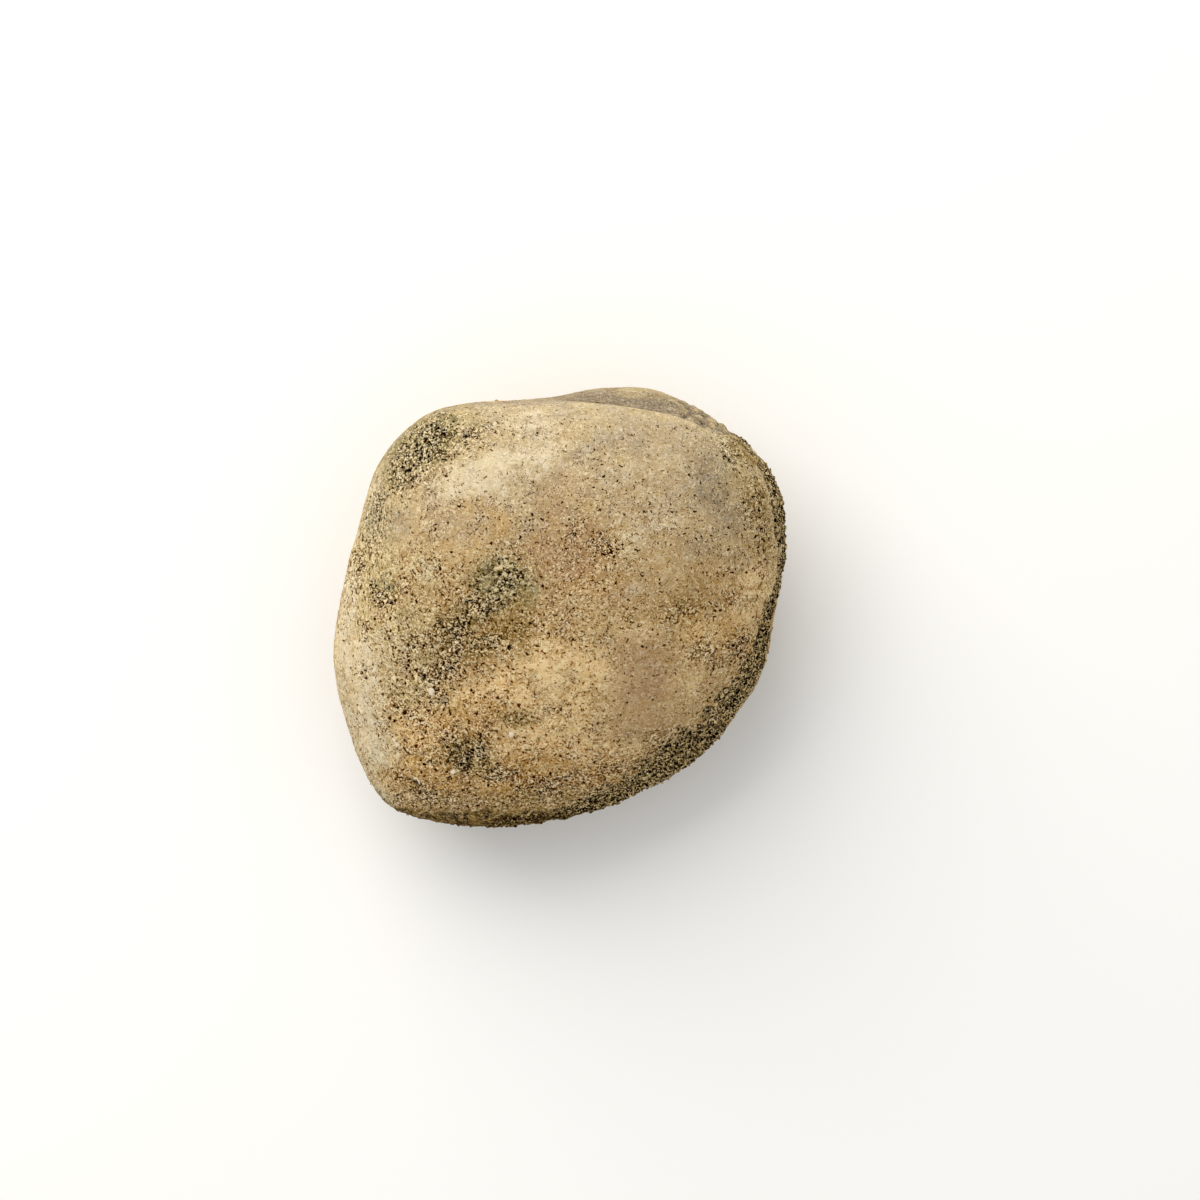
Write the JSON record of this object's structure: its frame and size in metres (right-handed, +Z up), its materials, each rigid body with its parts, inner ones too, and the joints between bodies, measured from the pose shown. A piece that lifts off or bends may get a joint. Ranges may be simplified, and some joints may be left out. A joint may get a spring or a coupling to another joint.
{
  "type": "fossil clam",
  "caption": "Fossil clam: limestone mould of a closed bivalve shell, with domed valve faces, a rough pitted rim and paired beaks at a shallow hinge groove.",
  "frame": {"origin": "middle of the stone's footprint, on the surface that it lies on", "axes": "+Z up out of the upper valve face as the stone lies, +Y towards the hinge and beaks, +X along the stone's greatest width"},
  "size_m": [0.0912, 0.0894, 0.055],
  "materials": {
    "limestone": "matte"
  },
  "bodies": {
    "root": {"fossil_clam_stone": "limestone"}
  },
  "joints": []
}
